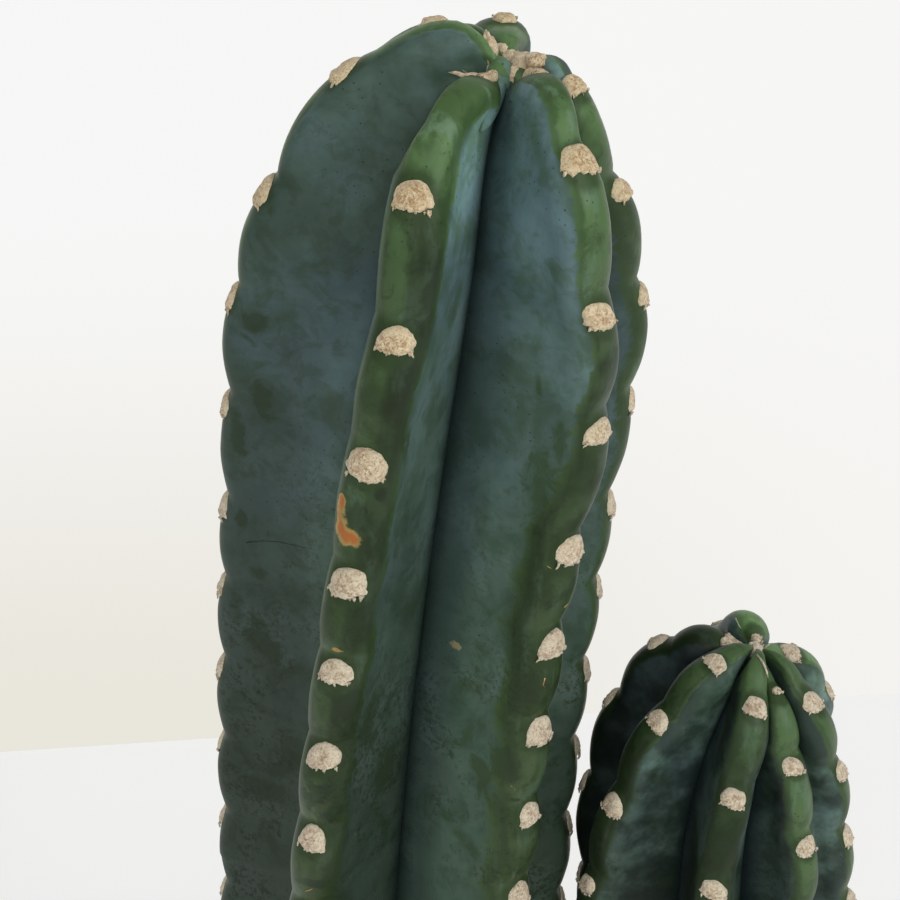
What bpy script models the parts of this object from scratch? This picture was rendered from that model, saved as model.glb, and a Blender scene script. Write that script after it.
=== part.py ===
"""Two ribbed, spineless cactus columns growing together in a plain clay pot.

Metres, +Z up, origin on the ground under the middle of the pot. The camera side is -Y.
Each column is one loft around a leaning, bent axis; its felt pads are fused on by one union.
"""
import bisect
import math
import random

import bmesh
import bpy
from mathutils import Vector

for old in list(bpy.data.objects):
    bpy.data.objects.remove(old, do_unlink=True)

MM = 0.001
GAP = 0.35 * MM

# pot
POT_H = 210 * MM
POT_TOP_R = 127 * MM
POT_FOOT_R = 88 * MM
POT_WALL = 8 * MM
POT_FLOOR = 11 * MM
RIM_R = 132 * MM
RIM_H = 34 * MM
FOOT_RECESS = 3 * MM
FOOT_RING = 12 * MM
DRAIN_R = 11 * MM

# soil, level with the foot of the columns
SOIL_Z = 190 * MM
SOIL_BUMP = 1.6 * MM
HOLE_GAP = 0.38        # mm round a column in the soil's hole

# columns: mm above the soil, angles in degrees from the camera side, + to the right
MAIN = {
    "name": "main_column", "foot": (-56, 14), "lean": (20.3, -25), "height": 425, "root": 45,
    "foot_r": 51, "waist_r": 55.6, "full_r": 56.4, "waist_h": 120, "full_h": 330,
    "tip_r": 15.3, "tip_dip": 7.5, "dome_h": 92.7, "dome_power": 1.09, "skew": (8.6, 1.9),
    "bend_len": 260, "bend_deg": 7.1, "bend_dir": 53,
    "fin_half": 7.4, "groove_k": 10.8, "scallop": 2.8, "young_bulge": 0.3,
    "first": 33.6, "young_pitch": 35.4, "young": 4, "pitch": 29.2,
    "stations": (0, 150, 290, 340, 380, 424),
    "ribs": ((-104, -113.7, -103.5, -95.6, -92.9, -101.7), (-27.5, -29.6, -18, -15.3, -12.1, -27.2),
             (45, 41.1, 45.2, 54.1, 36.7, 24.2), (99, 98.6, 100.4, 94.6, 91.1, 45.9),
             (139, 139, 138, 138, 138.8, 131.8), (181, 181, 180, 178, 190, 180),
             (221, 221, 221, 221, 224.4, 231.7)),
    "offsets": (6.9, -10.3, -15.3, -3.2, 1, -3, -3.6),
    "first_shift": (4.6, -8.8, -1.9, -2.5, 8.9, -6.6, -3),
    "second_shift": (3.8, 0.3, -5.5, -2.6, 0, 0, 1.4),
    "low_shift": (-4.9, -0.3, 1.2, -1.1, 0, 0, 0), "low_reach": (2.2, -2.1, 0.7, -0.4, 0, 0, 0),
    "lobes": (3.2, -9.9, -6.9, 1.5, -5.5, -1, 1), "lobe_power": 2.7,
    "reach": (1.8, 7.3, 8, -6.1, -5.4, 1.6, 0.3),
    "wool_r": 7.5, "pad": (5.5, 4.5, 2.4), "pad_sides": 6, "seed": 11,
}
SIDE = {
    "name": "side_column", "foot": (63, -7), "lean": (-22.1, 0), "height": 254.2, "root": 45,
    "foot_r": 41, "waist_r": 44.2, "full_r": 43.1, "waist_h": 90, "full_h": 146,
    "tip_r": 5.8, "tip_dip": 2.5, "dome_h": 103, "dome_power": 0.885, "skew": (-1.6, 2.5),
    "bend_len": 100, "bend_deg": 25.6, "bend_dir": 51,
    "fin_half": 5.8, "groove_k": 9.0, "scallop": 2.6, "young_bulge": 1.1,
    "first": 17.5, "young_pitch": 26.5, "young": 1, "pitch": 30.0,
    "stations": (0, 120, 190, 235, 251),
    "ribs": ((-110, -114.3, -116.7, -120.8, -115.2), (-78, -84.4, -61.1, -61, -51),
             (-8, -8, -7.1, -4.2, -3.2), (38, 38, 36.2, 33.9, 20.8),
             (86, 84.3, 67.8, 70.5, 48.6), (138, 138, 134, 113.1, 98.9),
             (196, 196, 192, 188.4, 177.3)),
    "offsets": (-11.3, -0.4, 9, -5.7, 4.3, -4.3, -10.4),
    "first_shift": (1.5, 0.4, -3, 3.1, 1.4, -1.4, -3),
    "second_shift": (1.6, -0.9, -2.2, -0.1, 3.3, -1.3, 3.6),
    "lobes": (-5.6, 0, 1.5, -3.1, 0.8, -1.4, 1), "lobe_power": 1.04,
    "reach": (0.5, -1.1, 0.4, -0.8, 0.6, 1, -0.6),
    "wool_r": 5, "pad": (3.9, 3.5, 1.8), "pad_sides": 5, "seed": 23,
}
RIBS = 7
PAD_RIM = 0.45        # height of a pad's rim, as a share of its middle's
PAD_SINK = 2.2        # mm that a pad reaches into the rib
NOTCH_TO_PAD = 0.18   # how far above its pad a notch lies, in steps between pads
CAP_SHARES = ((-1, 1.0, 1.0), (-1, 0.76, 0.3), (0, 0.0, 0.0), (1, 0.76, 0.3), (1, 1.0, 1.0))
CAP_ROOM = 0.84       # most of the room between grooves that a rib's cap takes
SWELL = 0.3           # mm that a cap is wider on a swelling
BULGE_MEAN = 0.7      # the swelling at which the crest lies on its mean line
LOW_HEIGHTS = ((0, 0), (60, 1), (150, 1), (290, 0))   # heights with their share of low_reach
GROOVE_TIP = 0.45     # a groove's radius at the tip, as a share of the tip's
SOFTEN = (-18, -9, 0, 9, 18)   # heights over which a rib's change of direction is spread
ROOT_TAPER_FROM = 8   # mm below the soil where the buried foot begins to close in
DOME_STEPS, SIDE_STEPS, TIP_STEPS = 60, 120, 8
WOOL_RINGS = ((-10.0, 0.75), (-0.5, 1.0), (2.0, 0.62))   # (mm over the dimple, share of wool_r)
WOOL_SIDES = 9


def ease(t):
    t = min(1.0, max(0.0, t))
    return t * t * (3 - 2 * t)


def along(knots, x):
    """The value at x on straight lines between (x, value) knots, level beyond the ends."""
    if x <= knots[0][0]:
        return knots[0][1]
    for (a, u), (b, v) in zip(knots, knots[1:]):
        if x <= b:
            return u + (v - u) * (x - a) / (b - a)
    return knots[-1][1]


class Column:
    """A ribbed column: crest line, ribs, swellings and the bent axis."""

    low_shift = low_reach = (0.0,) * RIBS

    def __init__(self, spec):
        for key, value in spec.items():
            setattr(self, key, value)
        self.shoulder = self.height - self.dome_h
        self.full = self.side_r(self.shoulder)
        self.meridian = self.crest_line()
        self.end = self.meridian[-1][0]
        self.soil_arc = self.end - self.root
        self.levels = self.areole_levels()
        pairs = zip(self.levels, self.levels[1:])
        self.notches = [a - NOTCH_TO_PAD * (b - a) for a, b in pairs]
        self.shifts = [self.shift_knots(i) for i in range(RIBS)]

    def side_r(self, h):
        r = self.foot_r + (self.waist_r - self.foot_r) * ease(h / self.waist_h)
        rise = (h - self.waist_h) / (self.full_h - self.waist_h)
        return r + (self.full_r - self.waist_r) * ease(rise)

    def crest_line(self):
        """Points (arc, radius, height) down the crest, from the middle of the tip to the root."""
        pts = []
        for k in range(TIP_STEPS + 1):
            t = k / TIP_STEPS
            pts.append((self.tip_r * t, self.height - self.tip_dip * (1 - t) ** 2))
        for k in range(1, DOME_STEPS + 1):
            b = math.pi / 2 * (1 - k / DOME_STEPS)
            r = self.tip_r + (self.full - self.tip_r) * math.cos(b) ** self.dome_power
            pts.append((r, self.shoulder + self.dome_h * math.sin(b)))
        for k in range(1, SIDE_STEPS + 1):
            h = self.shoulder - (self.shoulder + self.root) * k / SIDE_STEPS
            pts.append((self.side_r(h), h))
        line, arc = [(0.0,) + pts[0]], 0.0
        for a, b in zip(pts, pts[1:]):
            arc += math.hypot(b[0] - a[0], b[1] - a[1])
            line.append((arc, b[0], b[1]))
        return line

    def crest(self, arc):
        """Radius and height of the crest's mean line at an arc."""
        line = self.meridian
        arc = min(max(arc, 0.0), self.end)
        k = bisect.bisect_right(line, (arc, math.inf)) - 1
        k = min(k, len(line) - 2)
        t = (arc - line[k][0]) / (line[k + 1][0] - line[k][0])
        return tuple(line[k][c] + (line[k + 1][c] - line[k][c]) * t for c in (1, 2))

    def normal(self, arc):
        arc = min(max(arc, 0.0), self.end - 4)
        a, b = self.crest(max(0.0, arc - 2)), self.crest(arc + 2)
        dr, dh = b[0] - a[0], b[1] - a[1]
        size = math.hypot(dr, dh)
        return -dh / size, dr / size

    def areole_levels(self):
        """Arcs of the felt pads: wide steps in the young top, closer ones below."""
        arcs = [self.first]
        while arcs[-1] < self.end + 60:
            arcs.append(arcs[-1] + (self.young_pitch if len(arcs) <= self.young else self.pitch))
        return arcs

    def shift_knots(self, i):
        lv, own = self.levels, self.offsets[i]
        low = own + self.low_shift[i]
        return ((0.0, 0.0), (lv[0], own + self.first_shift[i]), (lv[1], own + self.second_shift[i]),
                (lv[2], own), (lv[5], low), (self.end - 60, low), (self.end, 0.0))

    def on_rib(self, i, arc):
        """Where rib i has what the shared levels put at arc: pads, swellings and rings."""
        return arc + along(self.shifts[i], arc)

    def swelling(self, arc):
        """0 at the notch above each pad, 1 on the swelling below it."""
        lead = self.notches[0]
        if arc < lead:
            return self.young_bulge * ease((lead - arc) / (0.5 * lead))
        for a, b in zip(self.notches, self.notches[1:]):
            if a <= arc < b:
                return math.sin(math.pi * (arc - a) / (b - a)) ** 0.85
        return 0.0

    def rib_angle(self, i, h):
        st, an = self.stations, self.ribs[i]
        if h < st[1]:
            return math.radians(an[0] + (an[1] - an[0]) * ease((h - st[0]) / (st[1] - st[0])))
        knots = tuple(zip(st, an))
        return math.radians(sum(along(knots, h + d) for d in SOFTEN) / len(SOFTEN))

    def half_angle(self, i, side, h):
        """Half the angle between rib i and its neighbour on one side, -1 left or 1 right."""
        other = self.rib_angle((i + side) % RIBS, h)
        return (side * (other - self.rib_angle(i, h))) % (2 * math.pi) / 2

    def groove_line(self, arc, half):
        """Radius and height of the groove beside a crest point, for half the rib spacing."""
        r, h = self.crest(arc)
        deep = min(self.groove_k / math.sin(half), 0.72 * self.full)
        if h < self.shoulder and arc > self.tip_r:
            return deep * self.side_r(h) / self.full, h
        up = (h - self.shoulder) / self.dome_h
        inward = max(0.0, min(1.0, (r - self.tip_r) / (self.full - self.tip_r)))
        tip = min(r, GROOVE_TIP * self.tip_r)
        lowest = self.tip_dip + 2.0
        drop = lowest * up
        if arc < self.tip_r * 1.2:
            drop = min(drop, lowest - (self.height - h))
        return tip + (deep - tip) * inward, h - max(0.0, drop)

    def bend(self, x, y, z):
        """Straight column to the real one: an arc near the top, then the whole lean."""
        d = math.radians(self.bend_dir)
        dx, dy = math.sin(d), -math.cos(d)
        k = math.radians(self.bend_deg) / self.bend_len
        z0 = self.height - self.bend_len
        a = x * dx + y * dy
        wx, wy = x - a * dx, y - a * dy
        if z > z0:
            turn = k * (z - z0)
            a2 = (1 - math.cos(turn)) / k + a * math.cos(turn)
            z2 = z0 + math.sin(turn) / k - a * math.sin(turn)
        else:
            a2, z2 = a, z
        x2 = wx + a2 * dx + self.lean[0] * z2 / self.height + self.foot[0]
        y2 = wy + a2 * dy + self.lean[1] * z2 / self.height + self.foot[1]
        return Vector((x2 * MM, y2 * MM, z2 * MM + SOIL_Z))

    def taper(self, h):
        """The buried foot closes in below the soil."""
        t = max(0.0, -ROOT_TAPER_FROM - h) / (self.root - ROOT_TAPER_FROM)
        return math.sqrt(max(0.0, 1 - (0.93 * t) ** 2))

    def off_centre(self, arc):
        """How far the tip's dimple is off the axis: full in the middle, none at the shoulder."""
        if arc > self.dome_h + self.tip_r + 30:
            return 0.0
        return max(0.0, 1 - (self.crest(arc)[0] / self.full) ** 2)

    def at(self, theta, r, q, h, shift=0.0):
        s = self.taper(h)
        x = (r * math.sin(theta) + q * math.cos(theta)) * s + shift * self.skew[0]
        y = (-r * math.cos(theta) + q * math.sin(theta)) * s + shift * self.skew[1]
        return self.bend(x, y, h)

    def cap_half(self, i, side, s, swell):
        """Half the width of rib i's cap on one side, less where the ribs crowd at the tip."""
        r, h = self.crest(s)
        room = CAP_ROOM * r * math.tan(min(self.half_angle(i, side, h), 1.0))
        return max(min(self.fin_half + SWELL * swell, room), 0.4)

    def over_crest(self, i, s, q, swell, lift):
        """A point lift mm out from rib i's mean crest at s, and q mm across from it."""
        r, h = self.crest(s)
        nr, nh = self.normal(s)
        shift = self.off_centre(s)
        out = self.scallop * (swell - BULGE_MEAN) * ease(r / 20) + lift
        out += self.reach[i] * 4 * shift * (1 - shift)
        out += self.low_reach[i] * along(LOW_HEIGHTS, h)
        raised = self.lobes[i] * ease(r / self.tip_r) * shift ** self.lobe_power
        return self.at(self.rib_angle(i, h), r + out * nr, q, h + out * nh + raised, shift)

    def ring(self, arc, grow=0.0):
        """One ring of the loft: per rib its left groove, then cap points across the crest."""
        pts = []
        swell = self.swelling(arc)
        for i in range(RIBS):
            s = self.on_rib(i, arc)
            s_left = 0.5 * (s + self.on_rib(i - 1, arc))
            h_left = self.crest(s_left)[1]
            half = self.half_angle(i, -1, h_left)
            gr, gh = self.groove_line(s_left, half)
            pts.append(self.at(self.rib_angle(i, h_left) - half, gr + grow, 0.0, gh,
                               self.off_centre(s_left)))
            for side, across, depth in CAP_SHARES:
                w = self.cap_half(i, side or 1, s, swell)
                pts.append(self.over_crest(i, s, side * (w + grow) * across, swell,
                                           grow - w * depth))
        return pts

    def ring_arcs(self):
        """Two or three rings from notch to notch, so that the pads fit between them."""
        lead = self.notches[0]
        arcs = [0.42 * self.tip_r, 0.95 * self.tip_r]
        arcs += [lead * t for t in (0.45, 0.72) if lead * t > arcs[-1] + 2.5]
        for k, (a, b) in enumerate(zip(self.notches, self.notches[1:])):
            for x in ((0.0, 0.36, 0.57, 0.79) if k < 2 else (0.0, 0.38, 0.69)):
                if a + (b - a) * x < self.soil_arc - 3:
                    arcs.append(a + (b - a) * x)
        return arcs + [self.soil_arc + below for below in (0, 22, 40)]

    def pad_point(self, i, level, across, down, lift):
        """A point over the rounded cap beside the pad at a level, raised by lift."""
        swell = self.swelling(level + down)
        w = self.fin_half + SWELL * swell
        x = min(abs(across) / w, 1.0)
        depth = w * (0.3 * x / 0.76 if x < 0.76 else 0.3 + 0.7 * (x - 0.76) / 0.24)
        return self.over_crest(i, self.on_rib(i, level) + down, across, swell, lift - depth)

    def pads(self):
        """Draped felt pads: for each, its sunk ring, its rim on the cap and its top point."""
        rng = random.Random(self.seed)
        half_w, half_h, proud = self.pad
        out = []
        for level in self.levels:
            for i in range(RIBS):
                here = level + rng.uniform(-0.3, 0.3)
                size = rng.uniform(0.92, 1.04)
                spin, aside = rng.uniform(0, 1), rng.uniform(-0.5, 0.5)
                s = self.on_rib(i, here)
                if s > self.soil_arc - 10:
                    continue
                room = min(self.cap_half(i, side, s, 0.0) for side in (-1, 1))
                wide = min(half_w * size, room)
                aside *= wide / half_w
                sunk, rim = [], []
                for k in range(self.pad_sides):
                    t = 2 * math.pi * (k + spin) / self.pad_sides
                    across = aside + wide * math.cos(t)
                    down = half_h * size * math.sin(t)
                    sunk.append(self.pad_point(i, here, across, down, -PAD_SINK))
                    rim.append(self.pad_point(i, here, across, down, PAD_RIM * proud))
                out.append((sunk, rim, self.pad_point(i, here, aside, 0.0, proud)))
        return out


def build_mesh(name, verts, faces):
    mesh = bpy.data.meshes.new(name)
    mesh.from_pydata([tuple(v) for v in verts], [], faces)
    bm = bmesh.new()
    bm.from_mesh(mesh)
    bmesh.ops.recalc_face_normals(bm, faces=bm.faces[:])
    bmesh.ops.triangulate(bm, faces=bm.faces[:])
    bm.to_mesh(mesh)
    bm.free()
    return bpy.data.objects.new(name, mesh)


def loft(name, rings, top, bottom):
    n = len(rings[0])
    verts = [top] + [p for ring in rings for p in ring] + [bottom]
    faces = []
    for k in range(n):
        faces.append((0, 1 + k, 1 + (k + 1) % n))
    for j in range(len(rings) - 1):
        a, b = 1 + j * n, 1 + (j + 1) * n
        for k in range(n):
            k2 = (k + 1) % n
            faces.append((a + k, b + k, b + k2, a + k2))
    last, end = 1 + (len(rings) - 1) * n, len(verts) - 1
    for k in range(n):
        faces.append((last + (k + 1) % n, last + k, end))
    return build_mesh(name, verts, faces)


def column_solid(col, name, grow=0.0):
    rings = [col.ring(arc, grow) for arc in col.ring_arcs()]
    top = col.at(0, 0, 0, col.height - col.tip_dip - 1.0 + grow, 1.0)
    bottom = col.bend(0, 0, -col.root - grow)
    return loft(name, rings, top, bottom)


def pad_solid(name, place):
    sunk, rim, top = place
    n = len(sunk)
    faces = [tuple(range(n))]
    for k in range(n):
        k2 = (k + 1) % n
        faces.append((k, n + k, n + k2, k2))
        faces.append((n + k, n + k2, 2 * n))
    return build_mesh(name, sunk + rim + [top], faces)


def wool_solid(name, col):
    """The woolly tuft that fills the dimple at the tip."""
    n = WOOL_SIDES
    rng = random.Random(col.seed + 5)
    base = col.height - col.tip_dip
    verts = []
    for lift, share in WOOL_RINGS:
        for k in range(n):
            t = 2 * math.pi * k / n
            r = col.wool_r * share * rng.uniform(0.86, 1.06)
            verts.append(col.at(0, -r * math.sin(t), r * math.cos(t), base + lift, 1.0))
    faces = []
    for j in range(len(WOOL_RINGS) - 1):
        a, b = j * n, (j + 1) * n
        faces += [(a + k, b + k, b + (k + 1) % n, a + (k + 1) % n) for k in range(n)]
    faces.append(tuple(range(n)))
    faces.append(tuple(b + k for k in range(n)))
    return build_mesh(name, verts, faces)


def apply_modifiers(obj):
    graph = bpy.context.evaluated_depsgraph_get()
    mesh = bpy.data.meshes.new_from_object(obj.evaluated_get(graph))
    obj.modifiers.clear()
    old = obj.data
    obj.data = mesh
    bpy.data.meshes.remove(old)


def smooth(obj, degrees):
    for face in obj.data.polygons:
        face.use_smooth = True
    obj.data.set_sharp_from_angle(angle=math.radians(degrees))


def material(obj, name, colour, roughness):
    mat = bpy.data.materials.new(name)
    mat.use_nodes = True
    bsdf = mat.node_tree.nodes["Principled BSDF"]
    bsdf.inputs["Base Color"].default_value = (*colour, 1.0)
    bsdf.inputs["Roughness"].default_value = roughness
    bsdf.inputs["Metallic"].default_value = 0.0
    obj.data.materials.clear()
    obj.data.materials.append(mat)


parts = bpy.data.collections.new("potted_columnar_cactus")
cutters = bpy.data.collections.new("cutters")
repeats = bpy.data.collections.new("felt_pads")
for coll in (parts, cutters, repeats):
    bpy.context.scene.collection.children.link(coll)


def fuse_pads(body, col):
    """One union of all pads and the tip's wool with the column, then the loose pads go."""
    loose = [pad_solid("pad", place) for place in col.pads()]
    loose.append(wool_solid("tip_wool", col))
    for obj in loose:
        repeats.objects.link(obj)
    mod = body.modifiers.new("pads", "BOOLEAN")
    mod.operation = "UNION"
    mod.operand_type = "COLLECTION"
    mod.collection = repeats
    mod.solver = "MANIFOLD"
    bpy.context.view_layer.update()
    apply_modifiers(body)
    for obj in loose:
        bpy.data.objects.remove(obj, do_unlink=True)


columns = {}
for spec in (MAIN, SIDE):
    col = Column(spec)
    body = column_solid(col, spec["name"])
    parts.objects.link(body)
    fuse_pads(body, col)
    smooth(body, 38)
    material(body, spec["name"] + "_skin", (0.062, 0.118, 0.098), 0.45)
    columns[spec["name"]] = col


def lathe(name, profile, sides):
    """A closed (r, z) outline turned around Z by a Screw modifier, then applied."""
    mesh = bpy.data.meshes.new(name)
    n = len(profile)
    mesh.from_pydata([(r, 0.0, z) for r, z in profile], [(k, (k + 1) % n) for k in range(n)], [])
    obj = bpy.data.objects.new(name, mesh)
    mod = obj.modifiers.new("turn", "SCREW")
    mod.steps = sides
    mod.render_steps = sides
    mod.use_merge_vertices = True
    mod.merge_threshold = 0.00005
    return obj


def wall_r(z):
    """Outer radius of the pot's plain wall."""
    return POT_FOOT_R + (POT_TOP_R - 4 * MM - POT_FOOT_R) * z / POT_H


def inner_r(z):
    return wall_r(z) - POT_WALL


rim_z = POT_H - RIM_H
POT_SIDES = 40
EASE = 2 * MM          # small chamfers on the rim and the foot
COVE = 5 * MM          # slope between the pot's floor and its wall
pot_profile = [
    (RIM_R - EASE, POT_H), (RIM_R, POT_H - EASE), (RIM_R - EASE, rim_z + EASE),
    (RIM_R - 2 * EASE, rim_z), (wall_r(rim_z), rim_z - MM), (wall_r(EASE), EASE),
    (POT_FOOT_R - EASE, 0.0), (POT_FOOT_R - FOOT_RING, 0.0),
    (POT_FOOT_R - FOOT_RING - EASE, FOOT_RECESS), (DRAIN_R, FOOT_RECESS),
    (DRAIN_R, POT_FLOOR), (inner_r(POT_FLOOR) - COVE, POT_FLOOR),
    (inner_r(POT_FLOOR + COVE), POT_FLOOR + COVE), (inner_r(POT_H), POT_H - EASE),
    (inner_r(POT_H) + EASE, POT_H),
]
pot = lathe("pot", pot_profile, POT_SIDES)
parts.objects.link(pot)
bpy.context.view_layer.update()
apply_modifiers(pot)
smooth(pot, 35)
material(pot, "pot_clay", (0.42, 0.17, 0.085), 0.85)

SOIL_SIDES = 24
SOIL_GAP = GAP + 0.4 * MM                       # room for the pot's flat facets
SOIL_RINGS = (98 * MM, 72 * MM, 44 * MM, 18 * MM)
SOIL_EDGE_DROP = 1.5 * MM


def soil_solid(name):
    """Soil that fills the pot, its top gently uneven."""
    rng = random.Random(5)
    edge_z = SOIL_Z - SOIL_EDGE_DROP
    cove_z = POT_FLOOR + COVE + GAP
    plain = [(inner_r(edge_z) - SOIL_GAP, edge_z), (inner_r(cove_z) - SOIL_GAP, cove_z),
             (inner_r(POT_FLOOR) - COVE - SOIL_GAP, POT_FLOOR + GAP)]
    rings = []
    for r, z, bump in ([(r, SOIL_Z, SOIL_BUMP) for r in reversed(SOIL_RINGS)]
                       + [(r, z, 0.0) for r, z in plain]):
        turns = [2 * math.pi * k / SOIL_SIDES for k in range(SOIL_SIDES)]
        rings.append([Vector((r * math.cos(t), r * math.sin(t), z + rng.uniform(-1, 1) * bump))
                      for t in turns])
    return loft(name, rings, Vector((0, 0, SOIL_Z + MM)), Vector((0, 0, POT_FLOOR + GAP)))


soil = soil_solid("soil")
parts.objects.link(soil)
for spec in (MAIN, SIDE):
    cutter = column_solid(columns[spec["name"]], "hole_for_" + spec["name"], HOLE_GAP)
    cutter.hide_render = True
    cutter.display_type = "WIRE"
    cutters.objects.link(cutter)
    mod = soil.modifiers.new("hole_" + spec["name"], "BOOLEAN")
    mod.operation = "DIFFERENCE"
    mod.object = cutter
    mod.solver = "MANIFOLD"
bpy.context.view_layer.update()
smooth(soil, 30)
material(soil, "soil_dark", (0.055, 0.038, 0.026), 0.95)
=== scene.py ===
import math
import random

import bmesh
import bpy
import numpy as np
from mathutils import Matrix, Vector, noise


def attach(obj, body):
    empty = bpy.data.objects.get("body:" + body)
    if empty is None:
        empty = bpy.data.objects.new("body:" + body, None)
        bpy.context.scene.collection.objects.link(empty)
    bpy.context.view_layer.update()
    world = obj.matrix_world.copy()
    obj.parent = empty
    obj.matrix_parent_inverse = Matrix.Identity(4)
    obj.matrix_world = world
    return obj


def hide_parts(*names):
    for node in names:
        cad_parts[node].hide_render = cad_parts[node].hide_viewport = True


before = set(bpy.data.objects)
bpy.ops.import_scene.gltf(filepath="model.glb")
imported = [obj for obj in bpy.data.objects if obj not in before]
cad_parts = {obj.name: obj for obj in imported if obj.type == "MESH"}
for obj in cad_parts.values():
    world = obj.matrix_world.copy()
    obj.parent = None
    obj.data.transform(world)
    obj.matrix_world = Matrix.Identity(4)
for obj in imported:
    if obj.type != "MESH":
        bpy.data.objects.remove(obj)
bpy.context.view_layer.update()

scene = bpy.context.scene

MM = 0.001
SOIL_Z = 190 * MM

# The two columns, as in the part's source: mm above the soil, degrees from the camera side.
# The keys after seed are for looks, by rib. Some are (left, right), or have a value at each of
# TONE_AT: the share by which a cap is narrower near the tip, mm from the crest to the green
# band's edge and the band's share at the tip, the brightness of the flanks, of the crest and of
# the crest's right half, the size of the first areole and how many mm further down it sits, and
# the number of loose hairs in the tip's wool.
# The brightness values in flanks, crests and dark_right are partly the skin's own colour and partly painted
# light and shade: painted light on the right flank of the main column's rib 1 and near the tips, and
# painted shade on the small column's ribs that face the main column.
MAIN = {
    "name": "main_column", "foot": (-56, 14), "lean": (20.3, -25), "height": 425, "root": 45,
    "foot_r": 51, "waist_r": 55.6, "full_r": 56.4, "waist_h": 120, "full_h": 330,
    "tip_r": 15.3, "tip_dip": 7.5, "dome_h": 92.7, "dome_power": 1.09, "skew": (8.6, 1.9),
    "bend_len": 260, "bend_deg": 7.1, "bend_dir": 53,
    "fin_half": 7.4, "groove_k": 10.8, "scallop": 2.8, "young_bulge": 0.3,
    "first": 33.6, "young_pitch": 35.4, "young": 4, "pitch": 29.2,
    "stations": (0, 150, 290, 340, 380, 424),
    "ribs": ((-104, -113.7, -103.5, -95.6, -92.9, -101.7), (-27.5, -29.6, -18, -15.3, -12.1, -27.2),
             (45, 41.1, 45.2, 54.1, 36.7, 24.2), (99, 98.6, 100.4, 94.6, 91.1, 45.9),
             (139, 139, 138, 138, 138.8, 131.8), (181, 181, 180, 178, 190, 180),
             (221, 221, 221, 221, 224.4, 231.7)),
    "offsets": (6.9, -10.3, -15.3, -3.2, 1, -3, -3.6),
    "first_shift": (4.6, -8.8, -1.9, -2.5, 8.9, -6.6, -3),
    "second_shift": (3.8, 0.3, -5.5, -2.6, 0, 0, 1.4),
    "low_shift": (-4.9, -0.3, 1.2, -1.1, 0, 0, 0), "low_reach": (2.2, -2.1, 0.7, -0.4, 0, 0, 0),
    "lobes": (3.2, -9.9, -6.9, 1.5, -5.5, -1, 1), "lobe_power": 2.7,
    "reach": (1.8, 7.3, 8, -6.1, -5.4, 1.6, 0.3),
    "wool_r": 7.5, "pad": (5.5, 4.5, 2.4), "seed": 11,
    "narrow": ((0, 0), (0.7, 0.15), (0.15, 0.62), (0.2, 0.2), (0, 0), (0, 0), (0, 0)),
    "bands": (((6, 6, 6, 6, 7, 7), (4, 4, 4.3, 4.5, 5, 5.5)), (8, (13, 13.5, 12, 9.6, 9.8, 10)),
              ((5.5, 5.5, 5.5, 5, 16, 11), 7.5), ((5, 11, 11, 10, 8, 5.5), 7.5),
              (7, 7.5), (8, 8), (7, 7.5)),
    "tip_bands": (1, 0.45, 1, 0.1, 1, 1, 1),
    "flanks": (((1.1, 1.1, 1, 0.7, 0.6, 0.55), (1.35, 1.1, 1.1, 0.98, 0.95, 0.66)),
               (2.2, (4.2, 5.0, 2.0, 1.4, 1.05, 0.74)),
               ((2.3, 2.3, 2.1, 1.7, 1.75, 1.8), (1, 1, 1.6, 1.6, 1.4, 1.4)),
               ((2.6, 1.2, 1.15, 1.1, 1.4, 2), 1), (1, 1), (1.6, 1), (1, 1)),
    "crests": ((2.3, 1.6, 1.25, 1.05, 0.95, 0.9), (1.9, 1.7, 0.86, 0.84, 0.95, 0.98),
               (1.6, 1.5, 1.25, 0.52, 0.68, 0.9), (2.2, 0.8, 0.8, 0.95, 0.95, 1.3), 0.9,
               (1.7, 1.2, 0.9, 0.9, 0.9, 0.9), 0.9),
    "dark_right": (1, (1, 0.95, 0.5, 0.5, 0.55, 0.7), 0.9, 1, 1, 1, 1),
    "first_pads": (1, 1, 1, 0.95, 0.9, 0.68, 0.85), "hairs": 26,
}
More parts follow.
